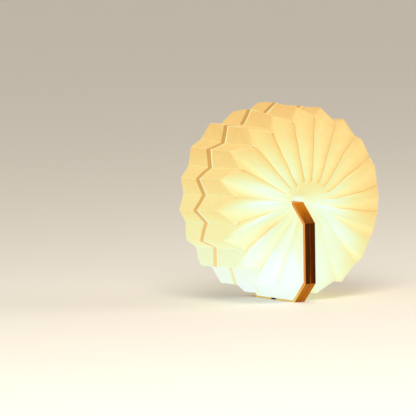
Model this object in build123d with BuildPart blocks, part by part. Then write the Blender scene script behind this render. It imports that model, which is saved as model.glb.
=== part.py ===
from build123d import *
import os
from math import cos, hypot, radians, sin, sqrt

# Pleated paper table lamp, opened right round into a drum and standing on its two covers.
#
# Millimetres, +Z up. The origin is the middle of the foot. The drum's axis runs along Y and its
# front faces -Y. The left cover is at x < 0 and the right cover at x > 0, back to back. A turn is
# an angle in the XZ plane in degrees, counted from straight up towards +X, so the pleats run from
# -180 (the left cover) over the top to +180 (the right cover).

# Covers: two octagonal wooden boards
cover_height = 167.0  # spine edge to fore edge
cover_width = 180.0  # along the drum's axis
cover_thickness = 10.3
cover_cut = 33.0  # leg of each cut corner
cover_gap = 0.2  # between the two backs
edge_break = 0.5  # bevel round each back

# Paper
sheet_thickness = 0.3
glue_gap = 0.15  # between a sheet and what it lies against
end_paper_margin = 5.5  # bare wood round the pasted end papers
fore_edge_margin = 3.0  # the same along the fore edge

# Bellows
pleat_count = 19
pleat_length = 155.0  # hub fold to rim fold
pleat_depth = 29.5  # from one fold to the next, the width of every paper facet
pleat_half_width = 55.0  # mid width to where an outward fold turns the corner
rim_corner_reach = 23.0  # how far an inward fold's rim corner stands beyond that
fold_gap = 0.15  # from a pleat's edge to the fold it shares with the next
seam_lap = 10.0  # the front sheet's hidden strip under the back sheet
seam_clearance = 0.1
hub_drop = 3.0  # hub folds below the covers' spine edge at the end papers
arch_half_width = 11.5  # arch of the hub folds over the two covers
arch_rise = 12.0

# Lamp module in each cover: a ring board of chips under a diffuser
module_height = 77.0  # centre of the module above the foot
module_width = 100.0
module_length = 72.0
module_depth = 5.4  # pocket under the inner face
module_round = 4.0
diffuser_lip = 3.0  # seat round the pocket
diffuser_thickness = 1.5
diffuser_clearance = 0.25
window_lap = 3.0  # end paper over the diffuser's rim
board_thickness = 1.0
board_clearance = 1.0
ring_side_room = 3.0  # from the battery's sides to the ring board's opening
ring_end_room = 3.5  # from the battery's ends to it
chip_width = 3.5
chip_height = 2.8
chip_thickness = 0.7
chip_pitch = 14.0
chips_per_row = 6
chip_row_inset = 7.0
chip_side_spacing = 18.0
screw_inset = 5.0
screw_length = 4.0
screw_radius = 1.0
screw_head_radius = 1.9
screw_head_height = 1.2
screw_clearance = 0.15
screw_shank_clearance = 0.03

# Battery in the left cover
battery_width = 60.0
battery_length = 35.0
battery_thickness = 5.0
battery_clearance = 2.0
battery_headroom = 1.1  # under the diffuser
pad_thickness = 0.5
pad_inset = 4.0
battery_corner = 1.5
lead_radius = 0.5
lead_spacing = 3.0
lead_channel_width = 8.0
lead_offset = 14.0  # from the cover's middle
lead_depth = 6.7  # under the inner face

# Control board and charging socket, at the left cover's fore edge
socket_offset = 4.0  # from the cover's middle
socket_width = 9.0
socket_height = 3.2
socket_length = 7.3
socket_wall = 0.3
socket_clearance = 0.2
socket_step = 0.3  # the socket's mouth stands this far above the notch
socket_rear = 1.2  # closed rear end
tongue_width = 6.6
tongue_thickness = 0.7
tongue_step = 0.8  # the tongue's tip is this far inside the mouth
notch_width = 14.0
notch_height = 6.5
notch_depth = 8.2
notch_wall = 2.0  # wood between the notch and the control pocket
notch_overlap = 0.5  # how far the socket's way runs into the notch and into the pocket
control_offset = 8.0
control_width = 36.0
control_clearance = 1.4
control_depth = 7.2
lid_thickness = 1.0
lid_lip = 1.2
lid_clearance = 0.2
lid_wall = 1.5  # wood between the lid's seat and the diffuser's
chip_sizes = ((7.0, 7.0, 0.9), (5.0, 4.0, 1.2), (4.0, 4.0, 2.0))
chip_places = ((-10.0, 1 / 12), (3.5, 1 / 4), (12.0, -1 / 6))  # across, share of the board's height
sensor_width = 3.0
sensor_height = 4.0
sensor_thickness = 1.5
sensor_place = (-12.0, -1 / 3)

# Magnets that hold the two backs together
magnet_radius = 3.0
magnet_length = 9.0
magnet_skin = 0.8  # wood left over each magnet
magnet_clearance = 0.1
magnet_offset = 72.0
magnet_spacing = 47.0
magnet_height = 83.5

# Flat lead from one cover's module to the other, round the hub inside the bellows
link_radius = 44.0
link_width = 5.0
link_thickness = 0.8
link_inset = 4.4  # how far each end reaches into its cover
link_clearance = 0.8
link_slot_room = 3.2  # the slot is this much longer than the lead is thick

# Worked out from the sizes above
pleat_turn = 360.0 / pleat_count
inner_face = cover_gap / 2 + cover_thickness
hub_height = cover_height - hub_drop
paper_face = inner_face + sheet_thickness + glue_gap
LEFT, RIGHT = -1, 1
FRONT, BACK = -1, 1


def save(part, name):
    """Label a finished piece and write its STEP file."""
    part.label = name
    export_step(part, os.path.join("parts", name + ".step"))


def at_depth(side, depth):
    """Sketch plane (Y across, Z up) that lies this deep under a cover's inner face."""
    return Plane.YZ.offset(side * (inner_face - depth))


def raise_by(side, height):
    """Extrude the last sketch by this height, out of the wood towards the inner face."""
    extrude(amount=height, dir=(side, 0, 0))


def octagon(half_width, bottom, top, bottom_cut, top_cut):
    """Rectangle with its four corners cut at 45 degrees, drawn in the current sketch."""
    Polygon(
        (bottom_cut - half_width, bottom),
        (half_width - bottom_cut, bottom),
        (half_width, bottom + bottom_cut),
        (half_width, top - top_cut),
        (half_width - top_cut, top),
        (top_cut - half_width, top),
        (-half_width, top - top_cut),
        (-half_width, bottom + bottom_cut),
        align=None,
    )


pocket_bottom = notch_height + notch_wall
pocket_top = module_height - module_length / 2 - diffuser_lip - lid_wall - lid_lip
pocket_width = control_width + 2 * control_clearance
pocket_length = pocket_top - pocket_bottom
pocket_middle = (pocket_bottom + pocket_top) / 2
control_height = pocket_length - 2 * control_clearance
control_top = pocket_middle + control_height / 2
battery_front = diffuser_thickness + battery_headroom  # under the inner face
battery_back = battery_front + battery_thickness
battery_floor = battery_back + pad_thickness
battery_bottom = module_height - battery_length / 2
link_slot_height = hub_height - link_radius + link_clearance
link_slot_width = link_width + 2 * link_clearance
link_slot_length = link_thickness + link_slot_room
screw_places = [
    (y * (module_width / 2 - board_clearance - screw_inset),
     module_height + z * (module_length / 2 - board_clearance - screw_inset))
    for y in (-1, 1) for z in (-1, 1)
]
magnet_places = [
    (y * magnet_offset, magnet_height + z * magnet_spacing / 2) for y in (-1, 1) for z in (-1, 1)
]


# ---- Covers -------------------------------------------------------------------------------------

def module_pocket(side):
    """Pocket for the ring board, with the diffuser's seat round it and the screws' pilot holes."""
    with BuildPart() as pocket:
        with BuildSketch(at_depth(side, module_depth)):
            with Locations((0, module_height)):
                RectangleRounded(module_width, module_length, module_round)
        raise_by(side, module_depth)
        with BuildSketch(at_depth(side, diffuser_thickness)):
            with Locations((0, module_height)):
                RectangleRounded(
                    module_width + 2 * diffuser_lip, module_length + 2 * diffuser_lip, module_round
                )
        raise_by(side, diffuser_thickness)
        with BuildSketch(at_depth(side, module_depth - board_thickness + screw_length)):
            with Locations(*screw_places):
                Circle(screw_radius)
        raise_by(side, screw_length)
    return pocket.part


def magnet_holes(side):
    """Blind holes from the inner face that leave a thin skin of wood over each magnet."""
    with BuildPart() as holes:
        with BuildSketch(at_depth(side, cover_thickness - magnet_skin)):
            with Locations(*magnet_places):
                Circle(magnet_radius + magnet_clearance)
        raise_by(side, cover_thickness - magnet_skin)
    return holes.part


def link_slot(side):
    """Slot that takes the end of the flat lead into the cover."""
    with BuildPart() as slot:
        with BuildSketch(at_depth(side, link_inset + link_clearance)):
            with Locations((0, link_slot_height)):
                Rectangle(link_slot_width, link_slot_length)
        raise_by(side, link_inset + link_clearance)
    return slot.part


def electronics_pockets():
    """Battery pocket, lead channel, control pocket and the seat of its lid."""
    with BuildPart() as pockets:
        with BuildSketch(at_depth(LEFT, battery_floor)):
            with Locations((0, module_height)):
                Rectangle(
                    battery_width + 2 * battery_clearance, battery_length + 2 * battery_clearance
                )
        raise_by(LEFT, battery_floor - module_depth + board_thickness)
        with BuildSketch(at_depth(LEFT, control_depth)):
            with Locations((lead_offset, (pocket_top + battery_bottom) / 2)):
                Rectangle(
                    lead_channel_width, battery_bottom - pocket_top + 2 * control_clearance
                )
            with Locations((control_offset, pocket_middle)):
                Rectangle(pocket_width, pocket_length)
        raise_by(LEFT, control_depth)
        with BuildSketch(at_depth(LEFT, lid_thickness)):
            with Locations((control_offset, pocket_middle)):
                Rectangle(pocket_width + 2 * lid_lip, pocket_length + 2 * lid_lip)
        raise_by(LEFT, lid_thickness)
    return pockets.part


def charging_notch():
    """Open notch in the fore edge for a plug, and the socket's way from it into the pocket."""
    mouth_depth = control_depth - board_thickness + socket_clearance
    with BuildPart() as notch:
        with BuildSketch(at_depth(LEFT, notch_depth)):
            with Locations((socket_offset, notch_height / 2)):
                Rectangle(notch_width, notch_height)
        raise_by(LEFT, notch_depth)
        with BuildSketch(at_depth(LEFT, mouth_depth)):
            with Locations((socket_offset, notch_height + notch_wall / 2)):
                Rectangle(socket_width + 2 * socket_clearance, notch_wall + 2 * notch_overlap)
        raise_by(LEFT, socket_height + 2 * socket_clearance)
    return notch.part


def build_cover(side):
    with BuildPart() as cover:
        with BuildSketch(at_depth(side, cover_thickness)):
            octagon(cover_width / 2, 0, cover_height, cover_cut, cover_cut)
        raise_by(side, cover_thickness)
        backs = cover.faces().sort_by(Axis.X)
        back = backs[-1] if side == LEFT else backs[0]
        chamfer(back.edges(), edge_break)
        add(module_pocket(side), mode=Mode.SUBTRACT)
        add(magnet_holes(side), mode=Mode.SUBTRACT)
        add(link_slot(side), mode=Mode.SUBTRACT)
        if side == LEFT:
            add(electronics_pockets(), mode=Mode.SUBTRACT)
            add(charging_notch(), mode=Mode.SUBTRACT)
    return cover.part


# ---- Paper --------------------------------------------------------------------------------------

def build_end_paper(side):
    """Pasted octagon with a window for the diffuser and a slot for the flat lead.

    Its cut corners keep the margin from the cover's, so their legs follow from the margins.
    """
    cut = cover_cut + end_paper_margin * (sqrt(2) - 1)
    with BuildPart() as paper:
        with BuildSketch(Plane.YZ.offset(side * inner_face)):
            octagon(cover_width / 2 - end_paper_margin, fore_edge_margin, hub_height,
                    cut - fore_edge_margin, cut - hub_drop)
            with Locations((0, module_height)):
                Rectangle(
                    module_width + 2 * diffuser_lip - 2 * window_lap,
                    module_length + 2 * diffuser_lip - 2 * window_lap,
                    mode=Mode.SUBTRACT,
                )
            with Locations((0, link_slot_height)):
                Rectangle(link_slot_width, link_slot_length, mode=Mode.SUBTRACT)
        extrude(amount=sheet_thickness, dir=(side, 0, 0))
    return paper.part


def hub_fold(turn):
    """Where the spoke at this turn starts, on the arch over the covers: (x, z)."""
    return (arch_half_width * sin(radians(turn / 2)),
            hub_height + arch_rise * cos(radians(turn / 2)))


def along_spoke(turn, distance):
    x, z = hub_fold(turn)
    return x + distance * sin(radians(turn)), z + distance * cos(radians(turn))


def outward_fold(number):
    """Hub and rim points of one pleat's outward fold."""
    turn = (number - 0.5) * pleat_turn - 180
    return hub_fold(turn), along_spoke(turn, pleat_length)


def inward_fold(number):
    """Hub and rim points of the fold after this pleat. The first and the last lie on end papers.

    The rim point is one facet's width from the rim points of both neighbouring outward folds.
    """
    if 0 < number < pleat_count:
        turn = number * pleat_turn - 180
        (ax, az), (bx, bz) = outward_fold(number)[1], outward_fold(number + 1)[1]
        half_chord = hypot(bx - ax, bz - az) / 2
        sink = sqrt(pleat_depth**2 - half_chord**2)
        rim = ((ax + bx) / 2 - sink * sin(radians(turn)), (az + bz) / 2 - sink * cos(radians(turn)))
        return along_spoke(turn, pleat_depth), rim
    side = LEFT if number == 0 else RIGHT
    ax, az = outward_fold(1 if number == 0 else pleat_count)[1]
    reach = abs(ax) - paper_face
    climb = sqrt(pleat_depth**2 - reach**2)
    return (side * paper_face, hub_height - pleat_depth), (side * paper_face, az + climb)


def pleat_section(top, before, after, lift=0.0):
    """Plane and outline of two legs of paper that meet at the fold `top`, from the fold before it
    to the fold after it. Lifted, the outline stands that far out for a lapping sheet."""
    across = (after - before).normalized()
    foot = before + across * (top - before).dot(across)
    rise = (top - foot).length
    left = (foot - before).dot(across) - fold_gap
    right = (after - foot).dot(across) - fold_gap
    left_leg = sheet_thickness * hypot(left, rise)
    right_leg = sheet_thickness * hypot(right, rise)
    crown = (left_leg + right_leg) / (left + right)
    outline = [
        (-left, lift - rise), (0, lift), (right, lift - rise),
        (right - right_leg / rise, lift - rise),
        ((left_leg - left * crown) / rise, lift - crown),
        (left_leg / rise - left, lift - rise),
    ]
    return Plane(origin=top, x_dir=across, z_dir=across.cross(top - foot)), outline


def build_pleat(number):
    """One pleat: a front and a back sheet, each from mid width at the hub, out along its face and
    back to mid width at the rim, where the back sheet laps over the front one."""
    top_hub, top_rim = outward_fold(number)
    before_hub, before_rim = inward_fold(number - 1)
    after_hub, after_rim = inward_fold(number)
    rim_half = hypot(after_rim[0] - before_rim[0], after_rim[1] - before_rim[1]) / 2
    lap_lift = sheet_thickness * pleat_depth / rim_half + seam_clearance

    hub = (top_hub, before_hub, after_hub)
    rim = (top_rim, before_rim, after_rim)
    hub_corner = pleat_half_width + pleat_depth
    rim_corner = pleat_half_width + rim_corner_reach

    def section(folds, outward_y, inward_y, lift=0.0):
        """Section through the outward fold and its two neighbours at these places along Y."""
        (tx, tz), (bx, bz), (ax, az) = folds
        points = Vector(tx, outward_y, tz), Vector(bx, inward_y, bz), Vector(ax, inward_y, az)
        return pleat_section(*points, lift)

    with BuildPart() as pleat:
        for side in (FRONT, BACK):
            lift = lap_lift if side == BACK else 0.0
            sections = [
                section(hub, side * fold_gap, side * fold_gap),
                section(hub, side * pleat_half_width, side * hub_corner),
                section(rim, side * pleat_half_width, side * rim_corner, lift),
                section(rim, 0, 0, lift),
            ]
            if side == FRONT:
                sections.append(section(rim, seam_lap, seam_lap))
            for span in zip(sections, sections[1:]):
                for plane, outline in span:
                    with BuildSketch(plane):
                        Polygon(*outline, align=None)
                loft(ruled=True)
    return pleat.part


# ---- Lamp modules -------------------------------------------------------------------------------

def build_diffuser(side):
    with BuildPart() as diffuser:
        with BuildSketch(at_depth(side, diffuser_thickness)):
            with Locations((0, module_height)):
                RectangleRounded(
                    module_width + 2 * (diffuser_lip - diffuser_clearance),
                    module_length + 2 * (diffuser_lip - diffuser_clearance),
                    module_round,
                )
        raise_by(side, diffuser_thickness)
    return diffuser.part


def build_ring_board(side):
    width = module_width - 2 * board_clearance
    length = module_length - 2 * board_clearance
    with BuildPart() as board:
        with BuildSketch(at_depth(side, module_depth)):
            with Locations((0, module_height)):
                RectangleRounded(width, length, module_round)
                Rectangle(battery_width + 2 * ring_side_room, battery_length + 2 * ring_end_room,
                          mode=Mode.SUBTRACT)
            with Locations(*screw_places):
                Circle(screw_radius + screw_clearance, mode=Mode.SUBTRACT)
        raise_by(side, board_thickness)
    return board.part


def build_chips(side):
    """Two rows of chips above and below the ring's opening and a pair at each side of it."""
    row = module_length / 2 - board_clearance - chip_row_inset
    column = (module_width / 2 - board_clearance + battery_width / 2 + ring_side_room) / 2
    places = [
        ((i - (chips_per_row - 1) / 2) * chip_pitch, module_height + z * row)
        for z in (-1, 1) for i in range(chips_per_row)
    ]
    places += [
        (y * column, module_height + z * chip_side_spacing / 2) for y in (-1, 1) for z in (-1, 1)
    ]
    with BuildPart() as chips:
        with BuildSketch(at_depth(side, module_depth - board_thickness)):
            with Locations(*places):
                Rectangle(chip_width, chip_height)
        raise_by(side, chip_thickness)
    return chips.part


def build_screws(side):
    top = module_depth - board_thickness
    with BuildPart() as screws:
        with BuildSketch(at_depth(side, top)):
            with Locations(*screw_places):
                Circle(screw_head_radius)
        raise_by(side, screw_head_height)
        with BuildSketch(at_depth(side, top + screw_length - screw_clearance)):
            with Locations(*screw_places):
                Circle(screw_radius - screw_shank_clearance)
        raise_by(side, screw_length - screw_clearance)
    return screws.part


def build_magnets(side):
    with BuildPart() as magnets:
        with BuildSketch(at_depth(side, cover_thickness - magnet_skin)):
            with Locations(*magnet_places):
                Circle(magnet_radius)
        raise_by(side, magnet_length)
    return magnets.part


def build_battery():
    with BuildPart() as battery:
        with BuildSketch(at_depth(LEFT, battery_back)):
            with Locations((0, module_height)):
                RectangleRounded(battery_width, battery_length, battery_corner)
        raise_by(LEFT, battery_thickness)
    return battery.part


def build_battery_pad():
    with BuildPart() as pad:
        with BuildSketch(at_depth(LEFT, battery_floor)):
            with Locations((0, module_height)):
                Rectangle(battery_width - 2 * pad_inset, battery_length - 2 * pad_inset)
        raise_by(LEFT, pad_thickness)
    return pad.part


def build_battery_leads():
    """Two short wires from the battery to the control board's upper edge."""
    with BuildPart() as leads:
        with BuildSketch(Plane.XY.offset(control_top)):
            with Locations(*[
                (LEFT * (inner_face - lead_depth), lead_offset + k * lead_spacing / 2)
                for k in (-1, 1)
            ]):
                Circle(lead_radius)
        extrude(amount=battery_bottom - control_top)
    return leads.part


def build_control_board():
    with BuildPart() as board:
        with BuildSketch(at_depth(LEFT, control_depth)):
            with Locations((control_offset, pocket_middle)):
                Rectangle(control_width, control_height)
        raise_by(LEFT, board_thickness)
    return board.part


def build_board_chips():
    with BuildPart() as chips:
        for (width, height, thickness), (across, share) in zip(chip_sizes, chip_places):
            with BuildSketch(at_depth(LEFT, control_depth - board_thickness)):
                with Locations((control_offset + across, pocket_middle + share * control_height)):
                    Rectangle(width, height)
            raise_by(LEFT, thickness)
    return chips.part


def build_magnet_sensor():
    across, share = sensor_place
    with BuildPart() as sensor:
        with BuildSketch(at_depth(LEFT, control_depth - board_thickness)):
            with Locations((control_offset + across, pocket_middle + share * control_height)):
                Rectangle(sensor_width, sensor_height)
        raise_by(LEFT, sensor_thickness)
    return sensor.part


def build_charging_socket():
    """Flat oval shell, open downwards, with a tongue in its middle and a closed rear end."""
    bottom = notch_height + socket_step
    middle_x = LEFT * (inner_face - (control_depth - board_thickness - socket_height / 2))
    inner_width = socket_width - 2 * socket_wall
    inner_height = socket_height - 2 * socket_wall
    with BuildPart() as socket:
        with BuildSketch(Plane.XY.offset(bottom)):
            with Locations((middle_x, socket_offset)):
                SlotOverall(socket_width, socket_height, rotation=90)
        extrude(amount=socket_length)
        with BuildSketch(Plane.XY.offset(bottom)):
            with Locations((middle_x, socket_offset)):
                SlotOverall(inner_width, inner_height, rotation=90)
        extrude(amount=socket_length - socket_rear, mode=Mode.SUBTRACT)
        with BuildSketch(Plane.XY.offset(bottom + tongue_step)):
            with Locations((middle_x, socket_offset)):
                Rectangle(tongue_thickness, tongue_width)
        extrude(amount=socket_length - tongue_step)
    return socket.part


def build_electronics_lid():
    with BuildPart() as lid:
        with BuildSketch(at_depth(LEFT, lid_thickness)):
            with Locations((control_offset, pocket_middle)):
                Rectangle(
                    pocket_width + 2 * (lid_lip - lid_clearance),
                    pocket_length + 2 * (lid_lip - lid_clearance),
                )
        raise_by(LEFT, lid_thickness)
    return lid.part


def build_link_lead():
    """Flat lead that leaves one cover, goes round the hub and enters the other."""
    end_x = inner_face - link_inset
    end_z = sqrt(link_radius**2 - end_x**2)
    with BuildPart() as lead:
        with BuildSketch(Plane.XZ.offset(-link_width / 2)):
            with BuildLine():
                ThreePointArc(
                    (-end_x, hub_height - end_z), (0, hub_height + link_radius),
                    (end_x, hub_height - end_z),
                )
            trace(line_width=link_thickness)
        extrude(amount=link_width)
    return lead.part


# ---- Write every piece --------------------------------------------------------------------------

os.makedirs("parts", exist_ok=True)

for side, word in ((LEFT, "left"), (RIGHT, "right")):
    save(build_cover(side), word + "_cover")
    save(build_end_paper(side), word + "_end_paper")
    save(build_diffuser(side), word + "_diffuser")
    save(build_ring_board(side), word + "_light_board")
    save(build_chips(side), word + "_light_chips")
    save(build_screws(side), word + "_board_screws")
    save(build_magnets(side), word + "_magnets")

for number in range(1, pleat_count + 1):
    save(build_pleat(number), f"pleat_{number:02d}")

save(build_battery(), "battery")
save(build_battery_pad(), "battery_pad")
save(build_battery_leads(), "battery_leads")
save(build_control_board(), "control_board")
save(build_board_chips(), "board_chips")
save(build_magnet_sensor(), "magnet_sensor")
save(build_charging_socket(), "charging_socket")
save(build_electronics_lid(), "electronics_lid")
save(build_link_lead(), "link_lead")
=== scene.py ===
"""Pleated paper table lamp, opened right round: lit paper, wood, inner pieces, studio and camera."""

import bpy
import numpy as np
from mathutils import Matrix, Vector


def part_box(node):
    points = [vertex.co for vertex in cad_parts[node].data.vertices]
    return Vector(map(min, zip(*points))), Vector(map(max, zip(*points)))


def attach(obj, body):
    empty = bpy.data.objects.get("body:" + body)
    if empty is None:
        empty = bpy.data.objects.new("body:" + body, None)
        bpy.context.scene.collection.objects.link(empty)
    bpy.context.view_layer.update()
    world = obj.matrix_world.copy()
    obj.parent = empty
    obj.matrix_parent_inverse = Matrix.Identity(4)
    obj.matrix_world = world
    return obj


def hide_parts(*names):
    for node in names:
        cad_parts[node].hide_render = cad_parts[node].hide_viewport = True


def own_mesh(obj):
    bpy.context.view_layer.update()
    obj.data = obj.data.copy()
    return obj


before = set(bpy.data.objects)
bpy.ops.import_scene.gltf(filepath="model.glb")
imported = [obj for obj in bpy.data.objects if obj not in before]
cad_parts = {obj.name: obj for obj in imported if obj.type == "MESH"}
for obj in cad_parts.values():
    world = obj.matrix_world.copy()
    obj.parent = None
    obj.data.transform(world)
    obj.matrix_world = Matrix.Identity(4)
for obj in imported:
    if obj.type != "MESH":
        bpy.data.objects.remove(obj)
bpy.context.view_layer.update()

MM = 0.001

# ---- Sizes of the paper, as in the part's source ------------------------------------------------

pleat_count = 19
pleat_length = 155 * MM  # hub fold to rim fold
pleat_depth = 29.5 * MM  # width of every paper facet
pleat_half_width = 55 * MM  # mid width to where an outward fold turns the corner
rim_corner_reach = 23 * MM  # how far an inward fold's rim corner stands beyond that
arch_half_width = 11.5 * MM
arch_rise = 12 * MM
hub_drop = 3 * MM
sheet_thickness = 0.3 * MM
seam_lap = 12.5 * MM  # hidden strip of the front sheet; the part's is 10 mm
lap_lift = 0.45 * MM  # the lapping sheet stands this far out of the one under it
end_paper_stack = 0.45 * MM  # end paper and glue between the cover and the first pleat

cover_low, cover_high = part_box("left_cover")
cover_height = cover_high.z
inner_face = -cover_low.x  # pasted side of the left cover, from the middle between the covers
paper_face = inner_face + end_paper_stack
hub_height = cover_height - hub_drop

pleat_turn = 2 * np.pi / pleat_count

# How the sheets are rounded and divided
outward_reach = (6 * MM, 4 * MM, 4 * MM, 6 * MM)  # an outward fold rounds off this far from each corner
inward_reach = (11 * MM, 3.5 * MM, 3.5 * MM, 14 * MM)
crease_softness_face = 0.14  # share of the facet that the rounded fold takes
crease_softness_wall = 0.025
facet_columns = (  # across a facet, closer together at its two folds
    0, 0.008, 0.02, 0.04, 0.07, 0.11, 0.16, 0.22, 0.29, 0.37, 0.46, 0.55, 0.64, 0.73, 0.81, 0.88,
    0.94, 0.975, 1)
leg_cells = (34, 50, 20, 44, 30)  # wall, face, hub, face, wall
corner_cells = 9
corner_span = 0.2  # of a leg's number that each rounded corner takes
lap_leg = 3.5  # the way to the seam is only measured past this leg number, on the back sheet

# Unevenness of the hand-glued bellows. Round each turn, within about this spread (degrees), the rim
# corners stand this far out, round towards the right, and forward (mm).
front_shifts = (
    (98, 62, 6.5, -8.5, 0), (-18, 26, -7, 0, 2), (-90, 45, 0, 3.5, 6), (85, 6, 0, 6, 0),
    (76, 6, 2, 0, 0), (152, 14, 3.5, 0, 0), (28, 10, -2, 0, 0))
crest_shifts = front_shifts + ((-90, 45, 0, 0, -6.5),)  # the same and more, for the outward folds
back_shifts = (
    (-80, 40, 3, -1.5, 0), (-8, 26, -3, -5, 0), (-50, 16, 4.5, 0, 0), (-20, 8, -2.5, 0, 0))
back_corner_inset = 6 * MM  # inward folds turn the back rim corner this much earlier
middle_sink = 2.5 * MM  # inward rim folds lie this much deeper at mid width

# The front faces' inward folds: the ring of their hub corners stands aside and low, and they drift
# round the hub near each turn, within about this spread (degrees), by this much (mm)
ring_shift, ring_spread, ring_drop = 2 * MM, 7 * MM, 2.3 * MM
ring_forward = (20 * MM, 80 * MM)  # from mid width: from none of the ring's move to all of it
ring_fade = (40 * MM, 120 * MM)  # from the hub: from all of it to none
fold_drift = ((95, 38, 4.2), (-31, 14, -4.2), (27, 14, 2.2))
drift_forward = (20 * MM, 70 * MM)
drift_rise = (28 * MM, 60 * MM)  # from the hub: from no drift to all of it
drift_fade = (115 * MM, 150 * MM)  # and from all to none

# Turns either way (degrees) over which the unevenness fades out, towards the covers
rim_calm = (166, 179)
sink_calm = (150, 175)
ring_calm = (140, 175)

# Soft waves all over the paper
buckle = 0.55 * MM
buckle_long, buckle_short, buckle_waves = 90 * MM, 24 * MM, 7  # longest and shortest wave, how many
buckle_seeds = (11, 12, 13)  # for x, y and z
buckle_clear = 15 * MM  # they reach full height this far from the end papers and over the hub line
buckle_rise = (20 * MM, 70 * MM)  # and between these distances from the hub


# ---- Paper surfaces -----------------------------------------------------------------------------

def smooth_step(value, low, high):
    """0 below low, 1 above high and 3t^2 - 2t^3 between them."""
    t = np.clip((value - low) / (high - low), 0, 1)
    return t * t * (3 - 2 * t)


def away_from_covers(turn, limits):
    """1 where the turn is under the first limit either way, 0 past the second, in degrees."""
    return 1 - smooth_step(np.abs(turn), np.radians(limits[0]), np.radians(limits[1]))


def on_spoke(turn, distance):
    """Point (x, z) of the spoke at this turn: the arch point over the covers,
    (half_width sin(turn/2), hub_height + rise cos(turn/2)), plus distance times (sin turn, cos turn)."""
    x = arch_half_width * np.sin(turn / 2) + distance * np.sin(turn)
    z = hub_height + arch_rise * np.cos(turn / 2) + distance * np.cos(turn)
    return np.array([x, z])


def outward_turn(number):
    """Turn of this pleat's outward fold, counted from straight up towards +X, in radians."""
    return (number - 0.5) * pleat_turn - np.pi


def outward_fold(number):
    """Hub and rim points (x, z) of one pleat's outward fold."""
    turn = outward_turn(number)
    return on_spoke(turn, 0), on_spoke(turn, pleat_length)


def inward_fold(number):
    """Hub and rim points of the fold after this pleat: the rim point is one facet's width from both
    neighbouring outward rim points, and the first and last folds lie on the end papers."""
    if 0 < number < pleat_count:
        turn = number * pleat_turn - np.pi
        before, after = outward_fold(number)[1], outward_fold(number + 1)[1]
        half_chord = np.linalg.norm(after - before) / 2
        sink = np.sqrt(pleat_depth**2 - half_chord**2)
        spoke = np.array([np.sin(turn), np.cos(turn)])
        return on_spoke(turn, pleat_depth), (before + after) / 2 - sink * spoke
    side = -1 if number == 0 else 1
    rim = outward_fold(1 if number == 0 else pleat_count)[1]
    climb = np.sqrt(pleat_depth**2 - (abs(rim[0]) - paper_face) ** 2)
    x = side * paper_face
    return np.array([x, hub_height - pleat_depth]), np.array([x, rim[1] + climb])


def rim_shift(turn, shifts):
    """Sum of the shifts, each times exp(-((turn - centre)/spread)^2), as (x, y, z) in metres."""
    total = np.zeros(3)
    for centre, spread, out, around, forward in shifts:
        share = np.exp(-(((turn - np.radians(centre)) / np.radians(spread)) ** 2)) * MM
        x = out * np.sin(turn) + around * np.cos(turn)
        z = out * np.cos(turn) - around * np.sin(turn)
        total += share * np.array([x, -forward, z])
    return total * away_from_covers(turn, rim_calm)


def fold_corners(points, turn, widths, shifts, sink=0.0):
    """The six corners of one fold, from the hidden edge under the lap, round the front, through the
    hub, round the back and to the cut edge at mid width. Widths are those at the hub, in front and
    behind at the rim. The sink draws it towards the hub at mid width."""
    (hub_x, hub_z), (rim_x, rim_z) = points
    hub_width, front_width, back_width = widths
    lift_x, lift_z = lap_lift * np.sin(turn), lap_lift * np.cos(turn)
    corners = np.array([
        (rim_x, seam_lap, rim_z),
        (rim_x, -front_width, rim_z),
        (hub_x, -hub_width, hub_z),
        (hub_x, hub_width, hub_z),
        (rim_x + lift_x, back_width, rim_z + lift_z),
        (rim_x + lift_x, 0, rim_z + lift_z),
    ])
    sunk = sink * away_from_covers(turn, sink_calm)
    corners[[0, 5]] -= sunk * np.array([np.sin(turn), 0, np.cos(turn)])
    corners[1] += rim_shift(turn, shifts)
    corners[4] += rim_shift(turn, back_shifts)
    return corners


def spread_ring(path, turn):
    """Inward fold with its front hub corner moved aside by shift + spread sin(turn) and down: in full
    at the corner, and fading along the face and towards mid width. The middle of the face drifts
    round the hub."""
    forward = -path[:, 1]
    radius = np.hypot(path[:, 0], path[:, 2] - hub_height)
    off_cover = away_from_covers(turn, ring_calm)
    at_ring = smooth_step(forward, *ring_forward) * (1 - smooth_step(radius, *ring_fade)) * off_cover
    move = np.array([ring_shift + ring_spread * np.sin(turn), 0, -ring_drop])
    drift = 0
    for centre, spread, amount in fold_drift:
        drift += amount * MM * np.exp(-(((np.degrees(turn) - centre) / spread) ** 2))
    in_middle = smooth_step(forward, *drift_forward) * smooth_step(radius, *drift_rise) * off_cover
    in_middle = in_middle * (1 - smooth_step(radius, *drift_fade))
    around = drift * np.array([np.cos(turn), 0, -np.sin(turn)])
    return path + at_ring[:, None] * move + in_middle[:, None] * around


def rounded_path(corners, reaches):
    """Points along straight legs joined by quadratic curves: near a corner C the path is
    (1-t)^2 A + 2t(1-t) C + t^2 B, with A and B that corner's reach away from C along its two legs."""
    pieces = []
    start = corners[0]
    t = np.linspace(0, 1, corner_cells + 1)[:, None]
    for i in range(len(corners) - 1):
        leg = corners[i + 1] - corners[i]
        along = leg / np.linalg.norm(leg)
        last = i == len(corners) - 2
        end = corners[i + 1] if last else corners[i + 1] - along * reaches[i]
        s = np.linspace(0, 1, leg_cells[i] + 1)[:, None]
        pieces.append(start + (end - start) * s[: None if last else -1])
        if not last:
            after = corners[i + 2] - corners[i + 1]
            start = corners[i + 1] + after / np.linalg.norm(after) * reaches[i]
            bend = (1 - t) ** 2 * end + 2 * t * (1 - t) * corners[i + 1] + t**2 * start
            pieces.append(bend[:-1])
    return np.concatenate(pieces)


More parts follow.
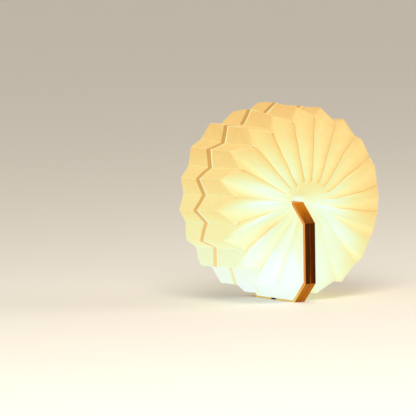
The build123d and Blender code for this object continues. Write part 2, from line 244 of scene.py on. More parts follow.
def leg_position():
    """Leg number along the path, 0 to 5: whole numbers in the middle of each corner."""
    values = []
    for i, cells in enumerate(leg_cells):
        last = i == len(leg_cells) - 1
        straight = np.linspace(0, 1, cells + 1)[: None if last else -1]
        values.append(i + corner_span / 2 + (1 - corner_span) * straight)
        if not last:
            bend = np.linspace(0, 1, corner_cells + 1)[:-1]
            values.append(i + (1 - corner_span / 2) + corner_span * bend)
    return np.concatenate(values)


def past_corner(number):
    """0 before this corner of the path, 1 after it, and a smooth change on its rounded part."""
    return smooth_step(leg, number - corner_span / 2, number + corner_span / 2)


leg = leg_position()[:, None]
on_face = past_corner(1) * (1 - past_corner(2)) + past_corner(3) * (1 - past_corner(4))
on_wall = 1 - past_corner(1) + past_corner(4)
in_hub = 1 - on_face - on_wall
across = np.concatenate([-np.array(facet_columns)[:0:-1], np.array(facet_columns)])[None, :]


def ripple(points, seed, count, longest, shortest):
    """Sum of sine waves in seeded directions, with wavelengths from longest to shortest, scaled to
    about 1."""
    draw = np.random.default_rng(seed)
    directions = draw.normal(size=(count, 3))
    directions /= np.linalg.norm(directions, axis=1)[:, None]
    waves = np.geomspace(longest, shortest, count)
    phases = draw.uniform(0, 2 * np.pi, count)
    total = 0
    for direction, wave, phase in zip(directions, waves, phases):
        total = total + np.sin(2 * np.pi * (points @ direction) / wave + phase)
    return total / np.sqrt(count)


def buckled(points):
    """Points moved by soft waves in x, y and z, which fade at the covers, the hub and the end papers."""
    x, z = points[..., 0], points[..., 2]
    off_paper = smooth_step(np.abs(x) - paper_face, 0, buckle_clear)
    off_cover = np.maximum(off_paper, smooth_step(z, hub_height, hub_height + buckle_clear))
    radius = np.hypot(x, z - hub_height)
    fade = off_cover * smooth_step(radius, *buckle_rise)
    waves = [ripple(points, seed, buckle_waves, buckle_long, buckle_short) for seed in buckle_seeds]
    return points + buckle * fade[..., None] * np.stack(waves, axis=-1)


def pleat_surface(number):
    """Grid of one pleat. P is the outward fold, A and B the folds before and after it. A point is
    P + D q(w) + T w, with D = (A + B)/2 - P, T = (B - A)/2, and w from -1 at A to 1 at B;
    q = sqrt(w^2 + a^2 (1 - w^2)) rounds the outward fold off, with a its softness."""
    turn = outward_turn(number)
    half = pleat_turn / 2
    crest_widths = (pleat_half_width, pleat_half_width, pleat_half_width)
    rim_width = pleat_half_width + rim_corner_reach
    fold_widths = (pleat_half_width + pleat_depth, rim_width, rim_width - back_corner_inset)
    crest_corners = fold_corners(outward_fold(number), turn, crest_widths, crest_shifts)
    crest = rounded_path(crest_corners, outward_reach)

    def inward_path(fold, fold_turn):
        points = inward_fold(fold)
        corners = fold_corners(points, fold_turn, fold_widths, front_shifts, middle_sink)
        return spread_ring(rounded_path(corners, inward_reach), fold_turn)

    before = inward_path(number - 1, turn - half)
    after = inward_path(number, turn + half)
    depth = ((before + after) / 2 - crest)[:, None, :]
    width = ((after - before) / 2)[:, None, :]
    softness = crease_softness_wall + (crease_softness_face - crease_softness_wall) * on_face
    q = np.sqrt(across**2 + softness**2 * (1 - across**2))
    return buckled(crest[:, None, :] + depth * q[:, :, None] + width * across[:, :, None])


def grid_normals(grid):
    """Unit normals of a grid from the cross product of its two differences."""
    along = np.gradient(grid, axis=0)
    sideways = np.gradient(grid, axis=1)
    normal = np.cross(sideways, along)
    return normal / np.maximum(np.linalg.norm(normal, axis=2, keepdims=True), 1e-12)


def grid_mesh(name, grid, attributes):
    """Mesh of a grid of points, with smooth faces and one float attribute for each named array."""
    rows, columns = grid.shape[:2]
    corner = np.arange(rows * columns).reshape(rows, columns)
    quads = np.stack([corner[:-1, :-1], corner[:-1, 1:], corner[1:, 1:], corner[1:, :-1]], axis=2)
    quads = quads.reshape(-1, 4)
    mesh = bpy.data.meshes.new(name)
    mesh.from_pydata(grid.reshape(-1, 3).tolist(), [], quads.tolist())
    mesh.polygons.foreach_set("use_smooth", np.ones(len(quads), bool))
    for key, values in attributes.items():
        layer = mesh.attributes.new(key, "FLOAT", "POINT")
        values = np.broadcast_to(values, (rows, columns)).astype(np.float32)
        layer.data.foreach_set("value", values.ravel())
    piece = bpy.data.objects.new(name, mesh)
    bpy.context.scene.collection.objects.link(piece)
    return piece


# ---- Light inside the bellows -------------------------------------------------------------------

# Lengths here are in mm from the hub line, and turns in radians where nothing else is said.
module_glow = (1.44, 0.76)  # strength of the left and the right module
glow_reach, glow_power = 142.0, 1.733  # way along the tunnel at which half is left, and how fast it falls
tunnel_middle = 142.3  # the light travels at this distance from the hub
turn_way, turn_way_growth = 14.7, 0.787  # way for one radian at the hub, and more for each mm from it
off_middle_weight = 2.804  # of the squared distance from the tunnel's middle
shortest_way = 1.0  # keeps the way from coming to nothing
lean_gain, lean_gain_fade = 0.23, 0.00151  # of a face that leans to the light, and less for each mm
side_glow, side_glow_lean = 0.352, 0.037  # of the faces at the level of the hub
side_turn, side_spread = 1.728, 0.58
side_distance, side_width = 67.1, 45.8
valley_loss = 0.344  # share of its light that a face loses towards its inward folds
hub_valley_loss, hub_valley_reach = 0.015, 70  # more of it near the hub
after_valley_loss, after_valley_reach = 0.327, 100  # and more after the outward fold, less before it
base_dark = 0.007
# Patches of a face that the light strikes more or less: turn and spread in degrees, distance from
# the hub and spread in mm, amount, and how much more of it on the side after the outward fold
light_patches = (
    (-111, 20, 77, 40, -0.23, 0.29), (125, 8, 102, 40, 0.22, -0.09), (-70, 7, 147, 70, 0.11, -0.09),
    (100, 31, 100, 36, -0.11, 0.02), (157, 24, 80, 70, 0.21, 0.01), (-145, 7, 59, 38, -0.10, -0.30),
    (99, 9, 34, 18, 0.14, 0.08))
funnel_dark, funnel_reach = 0.386, 29.2  # the top of the funnel round the hub
spine_light = 0.45  # on the paper next to the spine, from between the covers
spine_height, spine_spread, spine_width = 8, 9, 15
wall_dark, hub_light = 0.108, 0.042


def bell(*terms):
    """exp(-sum of ((value - centre) / spread)^2) over its terms of (value, centre, spread)."""
    return np.exp(-sum(((value - centre) / spread) ** 2 for value, centre, spread in terms))


def light_level(points, normals):
    """How brightly the paper is lit from inside, about 0 to 1.

    Each module lights the tunnel that leads away from it round the hub. Where the angle from it is
    a and the distance from the hub is r, it gives strength (1 + lean) / (1 + (way / reach)^power),
    with way^2 = (a (turn way + growth r))^2 + weight (r - tunnel middle)^2 + shortest way^2. A
    face loses a share of this towards its inward folds, which goes with across^2. A face at the
    level of the hub glows more near it, the top of the funnel lies deep and is darker, and the
    paper next to the spine catches the light between the covers.
    """
    x, z = points[..., 0] / MM, (points[..., 2] - hub_height) / MM
    turn = np.arctan2(x, z)
    radius = np.hypot(x, z)
    tangent = np.stack([np.cos(turn), 0 * turn, -np.sin(turn)], axis=-1)
    lean = (normals * tangent).sum(axis=-1)
    level = 0
    for strength, angle, sign in zip(module_glow, (np.pi + turn, np.pi - turn), (1, -1)):
        round_way = angle * (turn_way + turn_way_growth * radius)
        off_middle = off_middle_weight * (radius - tunnel_middle) ** 2
        way = np.sqrt(round_way**2 + off_middle + shortest_way**2)
        facing = 1 + on_face * (lean_gain - lean_gain_fade * radius) * lean * sign
        level = level + strength * facing / (1 + (way / glow_reach) ** glow_power)
    beside_hub = bell((np.abs(turn), side_turn, side_spread), (radius, side_distance, side_width))
    level = level + on_face * beside_hub * (side_glow - side_glow_lean * lean * np.sign(turn))
    loss = valley_loss + hub_valley_loss * bell((radius, 0, hub_valley_reach))
    loss = loss + after_valley_loss * np.sign(across) * bell((radius, 0, after_valley_reach))
    level = level * (1 - on_face * across**2 * loss) - base_dark
    for centre, spread, distance, width, amount, slant in light_patches:
        patch = bell((turn, np.radians(centre), np.radians(spread)), (radius, distance, width))
        level = level + on_face * patch * (amount + slant * across)
    level = level - funnel_dark * bell((radius, 0, funnel_reach)) * np.clip(np.cos(turn), 0, 1)
    level = level + spine_light * bell((z, spine_height, spine_spread), (x, 0, spine_width)) * in_hub
    return level - wall_dark * on_wall + hub_light * in_hub


# ---- Shader helpers -----------------------------------------------------------------------------

def srgb(red, green, blue):
    """Linear colour of an sRGB colour given in 0 to 255."""
    values = np.array([red, green, blue]) / 255
    linear = np.where(values <= 0.04045, values / 12.92, ((values + 0.055) / 1.055) ** 2.4)
    return (*linear.tolist(), 1.0)


class Tree:
    """Short way to add and join the nodes of a material or a group."""

    def __init__(self, tree):
        self.tree = tree

    def add(self, kind, **settings):
        node = self.tree.nodes.new(kind)
        for key, value in settings.items():
            setattr(node, key, value)
        return node

    def feed(self, socket, value):
        """Join an output to this input, or set its value."""
        if isinstance(value, bpy.types.NodeSocket):
            self.tree.links.new(value, socket)
        else:
            socket.default_value = value

    def math(self, operation, *values, clamp=False):
        node = self.add("ShaderNodeMath", operation=operation, use_clamp=clamp)
        for socket, value in zip(node.inputs, values):
            self.feed(socket, value)
        return node.outputs[0]

    def mix(self, factor, first, second, blend="MIX"):
        node = self.add("ShaderNodeMix", data_type="RGBA", blend_type=blend)
        self.feed(node.inputs[0], factor)
        self.feed(node.inputs[6], first)
        self.feed(node.inputs[7], second)
        return node.outputs[2]

    def step(self, value, low, high, start=0.0, end=1.0):
        """Smooth change from start to end while value goes from low to high."""
        node = self.add("ShaderNodeMapRange", interpolation_type="SMOOTHSTEP")
        for socket, item in zip(node.inputs, (value, low, high, start, end)):
            self.feed(socket, item)
        return node.outputs[0]

    def fade(self, value, full, none, amount=1.0):
        """The amount while value is under full, none of it past none, and a smooth change between."""
        return self.step(value, full, none, amount, 0.0)

    def ramp(self, value, stops):
        node = self.add("ShaderNodeValToRGB")
        elements = node.color_ramp.elements
        while len(elements) < len(stops):
            elements.new(0.5)
        for element, (place, colour) in zip(elements, stops):
            element.position = place
            element.color = colour
        self.feed(node.inputs[0], value)
        return node.outputs[0]

    def noise(self, vector, scale, detail=2.0, roughness=0.5, distortion=0.0):
        node = self.add("ShaderNodeTexNoise")
        settings = {"Vector": vector, "Scale": scale, "Detail": detail, "Roughness": roughness,
                    "Distortion": distortion}
        for key, value in settings.items():
            self.feed(node.inputs[key], value)
        return node.outputs["Fac"]

    def stretch(self, vector, scale):
        node = self.add("ShaderNodeMapping")
        self.feed(node.inputs["Vector"], vector)
        node.inputs["Scale"].default_value = scale
        return node.outputs[0]

    def attribute(self, name):
        return self.add("ShaderNodeAttribute", attribute_name=name).outputs["Fac"]

    def place(self):
        return self.add("ShaderNodeTexCoord").outputs["Object"]

    def bump(self, height, strength, distance):
        node = self.add("ShaderNodeBump")
        node.inputs["Strength"].default_value = strength
        node.inputs["Distance"].default_value = distance
        self.feed(node.inputs["Height"], height)
        return node.outputs[0]

    def group(self, group, **inputs):
        node = self.add("ShaderNodeGroup", node_tree=group)
        for key, value in inputs.items():
            self.feed(node.inputs[key.replace("_", " ")], value)
        return node.outputs


def new_group(name, inputs, outputs):
    """Empty shader group with these sockets: (its tree, its inputs, its output node)."""
    group = bpy.data.node_groups.new(name, "ShaderNodeTree")
    for direction, sockets in (("INPUT", inputs), ("OUTPUT", outputs)):
        for key, kind, value in sockets:
            socket = group.interface.new_socket(
                key, in_out=direction, socket_type="NodeSocket" + kind)
            if value is not None:
                socket.default_value = value
    tree = Tree(group)
    return tree, tree.add("NodeGroupInput").outputs, tree.add("NodeGroupOutput").inputs


def new_material(name):
    """Material with a Principled BSDF: (material, its tree, the shader's inputs)."""
    material = bpy.data.materials.new(name)
    material.use_nodes = True
    material.node_tree.nodes.clear()
    tree = Tree(material.node_tree)
    shader = tree.add("ShaderNodeBsdfPrincipled")
    tree.feed(tree.add("ShaderNodeOutputMaterial").inputs[0], shader.outputs[0])
    return material, tree, shader.inputs


# ---- Finishes that several materials share ------------------------------------------------------

def make_fibre_group():
    """Mottling of pressed synthetic fibres: long faint strands over soft clouds."""
    tree, given, out = new_group(
        "pressed_fibres",
        [("Vector", "Vector", None)],
        [("Clouds", "Float", None), ("Strands", "Float", None)])
    clouds = tree.noise(given["Vector"], 95.0, 3.0, 0.55)
    strands = tree.noise(given["Vector"], 900.0, 4.0, 0.7, 1.6)
    tree.feed(out["Clouds"], clouds)
    tree.feed(out["Strands"], strands)
    return tree.tree


def make_speckle_group():
    """Fine moulded or plated grain that varies a colour and a roughness a little."""
    tree, given, out = new_group(
        "fine_grain",
        [("Vector", "Vector", None), ("Color", "Color", (0.5, 0.5, 0.5, 1)), ("Scale", "Float", 900.0),
         ("Amount", "Float", 0.1), ("Roughness", "Float", 0.4)],
        [("Color", "Color", None), ("Roughness", "Float", None), ("Height", "Float", None)])
    grain = tree.noise(given["Vector"], given["Scale"], 3.0)
    wide = tree.noise(given["Vector"], 60.0, 2.0)
    darker = tree.math("MULTIPLY", tree.math("SUBTRACT", 1.0, wide), given["Amount"])
    tree.feed(out["Color"], tree.mix(darker, given["Color"], (0, 0, 0, 1)))
    spread = tree.math("MULTIPLY", tree.math("SUBTRACT", grain, 0.5), 0.3)
    tree.feed(out["Roughness"], tree.math("ADD", given["Roughness"], spread, clamp=True))
    tree.feed(out["Height"], grain)
    return tree.tree


fibres = make_fibre_group()
fine_grain = make_speckle_group()


# ---- Materials ----------------------------------------------------------------------------------

darkest_tone = -0.3
paper_tones = [((tone - darkest_tone) / (1 - darkest_tone), srgb(*colour)) for tone, colour in (
    (-0.30, (205, 150, 66)),
    (0.00, (222, 176, 92)),
    (0.13, (240, 191, 109)),
    (0.30, (248, 217, 137)),
    (0.47, (245, 236, 165)),
    (0.65, (241, 248, 196)),
    (0.82, (240, 253, 222)),
    (1.00, (242, 255, 250)),
)]
paper_share = 0.14  # of its colour that the paper gives back from outside
shine_share = 0.97 - paper_share  # the rest shines through
paper_roughness = 0.62
fibre_relief, fibre_height = 0.25, 0.15 * MM

# Painted light and shade along the folds of the lit paper. Each of the pairs is the distances from
# the fold at which the line is full and at which it is gone.
ridge_painted_shade = 0.16  # painted shade line on the far side of an inward fold, of a wide and a narrow part
ridge_wide, ridge_wide_share = (0.2 * MM, 4.0 * MM), 0.4
ridge_narrow, ridge_narrow_share = (0.3 * MM, 1.6 * MM), 0.6
near_ridge, near_ridge_highlight = (0.1 * MM, 1.5 * MM), 0.15  # the painted highlight line on its near side
outward_line, inward_line = (0.1 * MM, 0.9 * MM), (0.1 * MM, 1.1 * MM)  # the walls' painted highlight lines
wall_line_highlight = 0.16
mitre_light, mitre_highlight = (0.2 * MM, 1.3 * MM), 0.20  # painted highlight where the folds turn into the hub
# painted shade line beside it
mitre_dark, mitre_shade = (1.5 * MM, 5.0 * MM), 0.08
mitre_span = (20 * MM, 29 * MM)  # along the mitre from the inward fold
lap_edge, lap_shade = (11.6 * MM, 13.2 * MM), 0.40  # painted shade where two sheets lie on one another and less light shines through
cut_edge, cut_edge_highlight = (1.5 * MM, 2.6 * MM), 0.85  # painted highlight on the back sheet's cut edge

# Painted light and shade of small creases round the front corner of an inward fold
crumple_angles = (28, -40, 84)  # of its strokes, in degrees
crumple_reach = (2.5 * MM, 10 * MM)
crumple_light_and_shade = 0.16
light_stroke, light_stroke_edge = 0.7 * MM, (0.1 * MM, 0.9 * MM)  # off the crease, half width
dark_stroke, dark_stroke_edge = 0.9 * MM, (0.1 * MM, 1.3 * MM)


def glow_through(tree, shader, tone):
    """Colour of the lit paper at this tone, shared between what it reflects and what shines through."""
    above_darkest = tree.math("SUBTRACT", tone, darkest_tone)
    place = tree.math("DIVIDE", above_darkest, 1 - darkest_tone, clamp=True)
    colour = tree.ramp(place, paper_tones)
    for socket, share in (("Base Color", paper_share), ("Emission Color", shine_share)):
        tree.feed(shader[socket], tree.mix(1.0, colour, (share, share, share, 1), "MULTIPLY"))
    shader["Emission Strength"].default_value = 1.0
    shader["Roughness"].default_value = paper_roughness


def mottling(tree, fibre, clouds, strands):
    """Tone of the fibres: clouds and strands round zero, by these amounts."""
    soft = tree.math("MULTIPLY", tree.math("SUBTRACT", fibre["Clouds"], 0.5), clouds)
    return tree.math("MULTIPLY_ADD", tree.math("SUBTRACT", fibre["Strands"], 0.5), strands, soft)


def crumple(tree, place):
    """Painted highlight and shade strokes of a star of small creases round the front corner of an inward
    fold.
    """
    along, aside = tree.attribute("corner_along"), tree.attribute("corner_aside")
    squares = [tree.math("MULTIPLY", value, value) for value in (along, aside)]
    way = tree.math("SQRT", tree.math("ADD", *squares))
    near = tree.fade(way, *crumple_reach)
    patchy = tree.step(tree.noise(place, 130.0, 2.0), 0.42, 0.62)
    total = 0.0
    for angle in np.radians(crumple_angles):
        offset = tree.math("MULTIPLY", along, float(-np.sin(angle)))
        offset = tree.math("MULTIPLY_ADD", aside, float(np.cos(angle)), offset)
        light_way = tree.math("ABSOLUTE", tree.math("SUBTRACT", offset, light_stroke))
        dark_way = tree.math("ABSOLUTE", tree.math("ADD", offset, dark_stroke))
        light = tree.fade(light_way, *light_stroke_edge)
        dark = tree.fade(dark_way, *dark_stroke_edge)
        total = tree.math("ADD", total, tree.math("SUBTRACT", light, dark))
    # painted light and shade of the creases
    amount = tree.math("MULTIPLY", patchy, crumple_light_and_shade)
    return tree.math("MULTIPLY", tree.math("MULTIPLY", total, near), amount)


def painted_fold_lines(tree, face, wall, valley):
    """Painted light and shade along the folds: painted shade on the far side of a face's inward
    fold, a painted highlight on its near side, and painted highlights along the folds of the walls
    and the hub."""
    shaded_side = tree.attribute("shaded_side")
    wide = tree.fade(valley, *ridge_wide, ridge_wide_share)
    narrow = tree.fade(valley, *ridge_narrow, ridge_narrow_share)
    shade = tree.math("MULTIPLY", tree.math("ADD", wide, narrow), tree.math("MULTIPLY", shaded_side, face))
    near_side = tree.math("MULTIPLY", tree.math("SUBTRACT", 1.0, shaded_side), face)
    near_light = tree.math("MULTIPLY", tree.fade(valley, *near_ridge), near_side)
    wall_or_hub = tree.math("MAXIMUM", wall, tree.attribute("in_hub"))
    fold_light = tree.math("MULTIPLY", tree.fade(tree.attribute("crest_way"), *outward_line), wall_or_hub)
    inner_light = tree.math("MULTIPLY", tree.fade(valley, *inward_line), wall)
    wall_light = tree.math("MULTIPLY", tree.math("MAXIMUM", fold_light, inner_light), wall_line_highlight)
    lines = tree.math("MULTIPLY_ADD", near_light, near_ridge_highlight, wall_light)
    return tree.math("SUBTRACT", lines, tree.math("MULTIPLY", shade, ridge_painted_shade))


def painted_mitre_lines(tree, valley):
    """A painted highlight with a painted shade line beside it where a facet turns from the face into the
    hub.
    """
    mitre = tree.attribute("mitre_way")
    light = tree.fade(mitre, *mitre_light, mitre_highlight)
    dark = tree.fade(mitre, *mitre_dark, mitre_shade)
    return tree.math("MULTIPLY", tree.math("SUBTRACT", light, dark), tree.fade(valley, *mitre_span))


def make_lit_paper():
    """White synthetic paper lit from inside, with painted light and shade along its creases, the
    lap painted darker where less light shines through two sheets, and a painted highlight on its
    cut edge.
    """
    material, tree, shader = new_material("lit_paper")
    place = tree.place()
    fibre = tree.group(fibres, Vector=place)
    wall = tree.attribute("wall")
    valley = tree.attribute("valley_way")
    lap = tree.attribute("lap_way")
    face = tree.math("SUBTRACT", 1.0, wall)
    tone = tree.math("ADD", tree.attribute("level"), mottling(tree, fibre, 0.14, 0.07))
    # painted light and shade along the folds, the mitres and the creases
    for lines in (painted_fold_lines(tree, face, wall, valley), painted_mitre_lines(tree, valley), crumple(tree, place)):
        tone = tree.math("ADD", tone, lines)
    # painted shade on the lap
    tone = tree.math("SUBTRACT", tone, tree.fade(lap, *lap_edge, lap_shade))
    # painted highlight on the cut edge
    tone = tree.math("ADD", tone, tree.fade(lap, *cut_edge, cut_edge_highlight))
    glow_through(tree, shader, tone)
    tree.feed(shader["Normal"], tree.bump(fibre["Strands"], fibre_relief, fibre_height))
    return material


def make_pasted_paper():
    """The same paper pasted flat on the wood, lit by the bellows round it."""
    material, tree, shader = new_material("pasted_paper")
    fibre = tree.group(fibres, Vector=tree.place())
    glow_through(tree, shader, tree.math("ADD", 0.97, mottling(tree, fibre, 0.12, 0.06)))
    tree.feed(shader["Normal"], tree.bump(fibre["Strands"], fibre_relief, fibre_height))
    return material


# Wood of the covers. Its grain runs along Y.
end_grain_facing = (0.8, 0.95)  # share of a face's normal along Y, from long grain to end grain
cut_corner_facing = (0.4, 0.65)  # and from long grain to a cut corner
upper_cut, upper_cut_light = 34 * MM, (0.1, 0.85)  # below the spine edge; its painted red-gold light, from bottom to top
lower_cut, lower_cut_light = (30 * MM, 60 * MM), 0.85  # above the foot, with painted red-gold light too
margin_depth = (0.3 * MM, 0.1 * MM)  # under the pasted side and the spine edge, where paper lights it
low_margin_height = (5 * MM, 40 * MM)
margin_cover, margin_dark = 0.85, 0.55  # share of the margin's colour as the paper lights it, and of black under its glow
# the paper's light on the margin, and a painted glow on the cut corners
margin_glow, cut_corner_painted_glow = 0.6, 0.25


def make_cover_wood():
    """Oiled walnut: end grain in front is nearly black-brown, the cut corners show the grain under
    painted red-gold light and a painted glow, and the paper lights the bare margin round it."""
    material, tree, shader = new_material("cover_wood")
    place = tree.place()
    rings = tree.noise(tree.stretch(place, (260, 14, 90)), 1.0, 5.0, 0.6, 0.4)
    pores = tree.noise(tree.stretch(place, (2600, 120, 1500)), 1.0, 3.0, 0.6)
    end_rings = tree.noise(tree.stretch(place, (420, 60, 26)), 1.0, 4.0, 0.6, 0.3)
    normal = tree.add("ShaderNodeSeparateXYZ")
    tree.feed(normal.inputs[0], tree.add("ShaderNodeTexCoord").outputs["Normal"])
    endways = tree.math("ABSOLUTE", normal.outputs["Y"])
    end_grain = tree.step(endways, *end_grain_facing)
    slope = tree.step(endways, *cut_corner_facing)
    split = tree.add("ShaderNodeSeparateXYZ")
    tree.feed(split.inputs[0], place)
    height = split.outputs["Z"]

    walnut = ((0.25, srgb(104, 56, 22)), (0.5, srgb(150, 88, 38)), (0.75, srgb(184, 118, 58)))
    colour = tree.ramp(rings, walnut)
    # painted light on the cut corners, brighter towards the spine edge and the foot
    upper = tree.step(height, cover_height - upper_cut, cover_height, *upper_cut_light)
    lower = tree.fade(height, *lower_cut, lower_cut_light)
    veins = tree.math("MULTIPLY", tree.math("SUBTRACT", rings, 0.5), 0.5)
    lit_cut_colours = ((0.0, srgb(96, 46, 0)), (0.5, srgb(140, 76, 6)), (1.0, srgb(176, 106, 20)))
    lit_cut_colour = tree.ramp(tree.math("ADD", tree.math("MAXIMUM", upper, lower), veins), lit_cut_colours)
    colour = tree.mix(slope, colour, lit_cut_colour)
    dark = tree.ramp(end_rings, ((0.3, srgb(50, 20, 0)), (0.7, srgb(76, 33, 1))))
    colour = tree.mix(end_grain, colour, dark)
    colour = tree.mix(tree.step(pores, 0.55, 0.78, 0.0, 0.25), colour, srgb(30, 12, 2))

    from_middle = tree.math("ABSOLUTE", split.outputs["X"])
    pasted_side = tree.step(from_middle, *(inner_face - depth for depth in margin_depth))
    spine = tree.step(height, *(cover_height - depth for depth in margin_depth))
    margin = tree.math("MAXIMUM", pasted_side, spine)
    # painted light: the margin's colour as the paper lights it, changing with height
    low_margin = tree.fade(height, *low_margin_height)
    margin_colour = tree.mix(low_margin, srgb(226, 150, 78), srgb(238, 206, 118))
    colour = tree.mix(tree.math("MULTIPLY", margin, margin_cover), colour, margin_colour)
    darker = tree.math("MULTIPLY", margin, margin_dark)
    tree.feed(shader["Base Color"], tree.mix(darker, colour, (0, 0, 0, 1)))
    # painted glow on the cut corners
    painted_cut_glow = tree.math("MULTIPLY", tree.math("SUBTRACT", slope, end_grain), cut_corner_painted_glow)
    glow = tree.math("MAXIMUM", tree.math("MULTIPLY", margin, margin_glow), painted_cut_glow)
    tree.feed(shader["Emission Color"], tree.mix(glow, (0, 0, 0, 1), colour))
    shader["Specular IOR Level"].default_value = 0.03
    shader["Emission Strength"].default_value = 1.0
    tree.feed(shader["Roughness"], tree.step(pores, 0.3, 0.8, 0.42, 0.62))
    tree.feed(shader["Normal"], tree.bump(tree.math("ADD", rings, pores), 0.2, 0.2 * MM))
    return material


def make_plain(name, colour, roughness, metallic=0.0, scale=900.0, amount=0.2, glow=0.0, relief=0.1):
    """Moulded, plated or coated surface with a fine grain and slight unevenness of colour."""
    material, tree, shader = new_material(name)
    grain = tree.group(
        fine_grain, Vector=tree.place(), Color=colour, Scale=scale, Amount=amount, Roughness=roughness)
    tree.feed(shader["Base Color"], grain["Color"])
    tree.feed(shader["Roughness"], grain["Roughness"])
    shader["Metallic"].default_value = metallic
    tree.feed(shader["Normal"], tree.bump(grain["Height"], relief, 0.1 * MM))
    if glow:
        tree.feed(shader["Emission Color"], grain["Color"])
        shader["Emission Strength"].default_value = glow
    return material


lit_paper = make_lit_paper()
lead_white = make_plain("lead_white", srgb(232, 228, 214), 0.5)

# The materials of the CAD nodes: colour, roughness and what differs from make_plain's own values
plain_finishes = (
    ("opal_plastic", (246, 240, 220), 0.45, {"glow": 0.7}, ("left_diffuser", "right_diffuser")),
    ("board_white", (228, 230, 224), 0.35, {}, ("left_light_board", "right_light_board")),
    ("chip_yellow", (250, 214, 96), 0.4, {"glow": 0.9}, ("left_light_chips", "right_light_chips")),
    ("screw_steel", (176, 178, 180), 0.32, {"metallic": 1.0}, ("left_board_screws", "right_board_screws")),
    ("magnet_nickel", (196, 194, 188), 0.22, {"metallic": 1.0}, ("left_magnets", "right_magnets")),
    ("cell_wrap", (190, 194, 198), 0.38, {"metallic": 0.6}, ("battery",)),
    ("foam_grey", (70, 72, 74), 0.9, {"scale": 1600.0, "relief": 0.5}, ("battery_pad",)),
    ("lead_red", (176, 30, 26), 0.45, {}, ("battery_leads",)),
    ("board_green", (26, 92, 56), 0.35, {}, ("control_board",)),
    ("chip_black", (30, 30, 32), 0.5, {}, ("board_chips", "magnet_sensor")),
    ("socket_steel", (200, 200, 198), 0.28, {"metallic": 1.0}, ("charging_socket",)),
    ("lid_black", (40, 40, 42), 0.55, {}, ("electronics_lid",)),
)


def finish_nodes(material, names):
    """Give these CAD nodes the material in place of their own."""
    for name in names:
        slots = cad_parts[name].data.materials
        slots.clear()
        slots.append(material)


finish_nodes(make_cover_wood(), ("left_cover", "right_cover"))
finish_nodes(make_pasted_paper(), ("left_end_paper", "right_end_paper"))
for name, colour, roughness, differences, names in plain_finishes:
    finish_nodes(make_plain(name, srgb(*colour), roughness, **differences), names)


# ---- Pleats -------------------------------------------------------------------------------------

# An inward fold has a painted shade line on one of the two facets that meet in it. Over these
# turns, in degrees, it comes onto the facets before and after a pleat's outward fold.
shade_before_turns = (60, 90)  # left of straight up
shade_after_turns = (-100, -78)
low_right = (95, 115)  # from here on the first have some of it again, and the second less
low_right_before, low_right_less = 0.4, 0.6
off_lap = 1.0  # stands for the way to the seam elsewhere, in metres


def turn_change(turn, limits):
    """0 to 1 while the turn goes through these limits, in degrees."""
    return smooth_step(turn, *np.radians(limits))


def keep_on_pleat(piece, number, slot, width, *nodes):
    """The piece rides on this pleat and stands for the nodes, which it hides."""
    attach(piece, f"pleat_{number:02d}")
    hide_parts(*nodes)
    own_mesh(piece)


def fold_attributes(grid, turn):
    """Distances and shares on the sheet that the lit paper's material reads.

    Crest, valley and lap ways are the distances to the outward fold, the nearer inward fold and
    the middle of the seam, the mitre way that to the nearer hub corner along the path, and the
    corner's ways those from the nearer front rim corner.
    """
    middle = grid.shape[1] // 2
    facet = np.linalg.norm(grid[:, 0] - grid[:, middle], axis=1)[:, None]
    at_low_right = turn_change(turn, low_right)
    shaded_before = turn_change(-turn, shade_before_turns) + low_right_before * at_low_right
    shaded_after = turn_change(turn, shade_after_turns) * (1 - low_right_less * at_low_right)
    rim_row, *hub_rows = (np.argmin(np.abs(leg[:, 0] - corner)) for corner in (1, 2, 3))
    from_before, from_after = grid - grid[rim_row, 0], grid - grid[rim_row, -1]
    from_corner = np.where(across[..., None] < 0, from_before, from_after)
    outward = np.array([np.sin(turn), 0, np.cos(turn)])
    sideways = np.array([np.cos(turn), 0, -np.sin(turn)])
    steps = np.linalg.norm(np.diff(grid, axis=0), axis=2)
    way = np.concatenate([np.zeros((1, grid.shape[1])), np.cumsum(steps, axis=0)])
    return {
        "mitre_way": np.minimum(*(np.abs(way - way[row]) for row in hub_rows)),
        "level": light_level(grid, grid_normals(grid)),
        "wall": on_wall,
        "in_hub": in_hub,
        "crest_way": np.abs(across) * facet,
        "valley_way": (1 - np.abs(across)) * facet,
        # facets that take the painted shade line of their inward fold
        "shaded_side": np.where(across < 0, shaded_before, shaded_after),
        "lap_way": np.where(leg > lap_leg, np.abs(grid[:, :, 1]), off_lap),
        "corner_along": from_corner @ outward - from_corner[..., 1],
        "corner_aside": from_corner @ sideways,
    }


def make_pleat(number):
    """One pleat of both sheets: its surface, given the thickness of the paper inwards."""
    grid = pleat_surface(number)
    attributes = fold_attributes(grid, outward_turn(number))
    piece = grid_mesh(f"paper_pleat_{number:02d}", grid, attributes)
    piece.data.materials.append(lit_paper)
    thick = piece.modifiers.new("thickness", "SOLIDIFY")
    thick.thickness = sheet_thickness
    thick.offset = -1
    rim_width = 2 * pleat_length * np.sin(pleat_turn / 2)
    keep_on_pleat(piece, number, "paper", rim_width, f"pleat_{number:02d}")


for number in range(1, pleat_count + 1):
    make_pleat(number)


# ---- Flat lead round the hub --------------------------------------------------------------------

lead_low, lead_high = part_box("link_lead")
lead_half_width = (lead_high.y - lead_low.y) / 2
lead_half_thickness = 0.4 * MM
lead_radius = lead_high.z - hub_height - lead_half_thickness
lead_end_depth = 4.4 * MM  # how far its ends stand inside the covers
lead_end_turn = np.pi - np.arcsin((inner_face - lead_end_depth) / lead_radius)
lead_squareness = 0.35  # of its section's two rounded sides, less is squarer
lead_waist = 0.2  # half of the share of its thickness that it lacks in the middle, between its wires
lead_points, lead_section_points = 9, 25


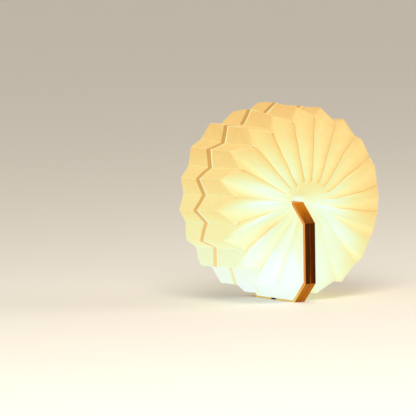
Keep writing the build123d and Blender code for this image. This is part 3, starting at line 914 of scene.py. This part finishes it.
def make_lead_length(number):
    """One pleat's share of the two-wire flat lead that runs round the hub.

    For w once round, its section is half_width cos(w)^squareness across and half_thickness sin(w)
    (1 - waist + waist cos 2w) high, and it is carried along the arc on which the solid lies. The
    pleats carry the lead, so each keeps its own length.
    """
    turn = outward_turn(number)
    first = max(turn - pleat_turn / 2, -lead_end_turn)
    last = min(turn + pleat_turn / 2, lead_end_turn)
    turns = np.linspace(first, last, lead_points)[:, None]
    way = np.linspace(0, 2 * np.pi, lead_section_points)[None, :]
    side = lead_half_width * np.sign(np.cos(way)) * np.abs(np.cos(way)) ** lead_squareness
    height = lead_half_thickness * np.sin(way) * (1 - lead_waist + lead_waist * np.cos(2 * way))
    radius = lead_radius + height
    grid = np.stack(np.broadcast_arrays(
        radius * np.sin(turns), side, hub_height + radius * np.cos(turns)), axis=2)
    piece = grid_mesh(f"flat_link_lead_{number:02d}", grid, {})
    piece.data.materials.append(lead_white)
    keep_on_pleat(piece, number, "lead_jacket", 2 * lead_radius * np.sin(pleat_turn / 2), "link_lead")


for number in range(1, pleat_count + 1):
    make_lead_length(number)


# ---- Studio and camera --------------------------------------------------------------------------

floor_half = 12.0
floor_drop = 0.05 * MM  # under the lamp's foot


def make_floor():
    signs = ((-1, -1), (1, -1), (1, 1), (-1, 1))
    corners = [(x * floor_half, y * floor_half, -floor_drop) for x, y in signs]
    mesh = bpy.data.meshes.new("floor")
    mesh.from_pydata(corners, [], [(0, 1, 2, 3)])
    floor = bpy.data.objects.new("floor", mesh)
    bpy.context.scene.collection.objects.link(floor)
    matt = make_plain("floor_matt", srgb(232, 226, 216), 0.8, scale=40.0, amount=0.02, relief=0.0)
    mesh.materials.append(matt)


def make_light(name, place, target, size, power, colour):
    """Square area light at this place, turned towards the target."""
    light = bpy.data.lights.new(name, "AREA")
    light.size = size
    light.energy = power
    light.color = colour
    lamp = bpy.data.objects.new(name, light)
    lamp.location = place
    lamp.rotation_euler = (Vector(target) - Vector(place)).to_track_quat("-Z", "Y").to_euler()
    bpy.context.scene.collection.objects.link(lamp)


def make_world():
    world = bpy.data.worlds.new("studio")
    bpy.context.scene.world = world
    world.use_nodes = True
    background = world.node_tree.nodes["Background"]
    background.inputs["Color"].default_value = srgb(236, 230, 220)
    background.inputs["Strength"].default_value = 0.75


camera_turn = (-34.01, 4.95, -0.83)  # azimuth, elevation and roll, in degrees
camera_distance = 8.0  # from the covers' spine edge
camera_aside, camera_above = -118.8 * MM, -11.23 * MM  # of the picture's middle from that edge
picture_width, focal_pixels = 416, 4766.2  # the photograph's width and the focal length, in pixels
sensor_width = 36


def make_camera():
    """Camera at the photograph's viewing angle: a long lens eight metres away, slightly rolled."""
    azimuth, elevation, roll = np.radians(camera_turn)
    level = np.cos(elevation)
    forward = Vector((-np.sin(azimuth) * level, np.cos(azimuth) * level, -np.sin(elevation)))
    right = Vector((np.cos(azimuth), np.sin(azimuth), 0))
    up = right.cross(forward)
    rolled_right = right * np.cos(roll) + up * np.sin(roll)
    rolled_up = up * np.cos(roll) - right * np.sin(roll)
    data = bpy.data.cameras.new("camera")
    data.lens = focal_pixels / picture_width * sensor_width
    data.sensor_width = sensor_width
    data.clip_start, data.clip_end = 0.1, 100
    camera = bpy.data.objects.new("camera", data)
    turned = Matrix((rolled_right, rolled_up, -forward)).transposed().to_4x4()
    target = Vector((0, 0, cover_height)) + right * camera_aside + up * camera_above
    place = target - forward * camera_distance
    camera.matrix_world = Matrix.Translation(place) @ turned
    bpy.context.scene.collection.objects.link(camera)
    bpy.context.scene.camera = camera


make_floor()
make_world()
make_light("key", (-1.6, -2.2, 2.4), (0, 0, 0.15), 2.0, 90, (1, 0.97, 0.92))
make_light("fill", (2.4, -1.6, 1.4), (0, 0, 0.15), 2.0, 30, (1, 0.97, 0.94))
make_camera()
bpy.context.scene.view_settings.view_transform = "Standard"
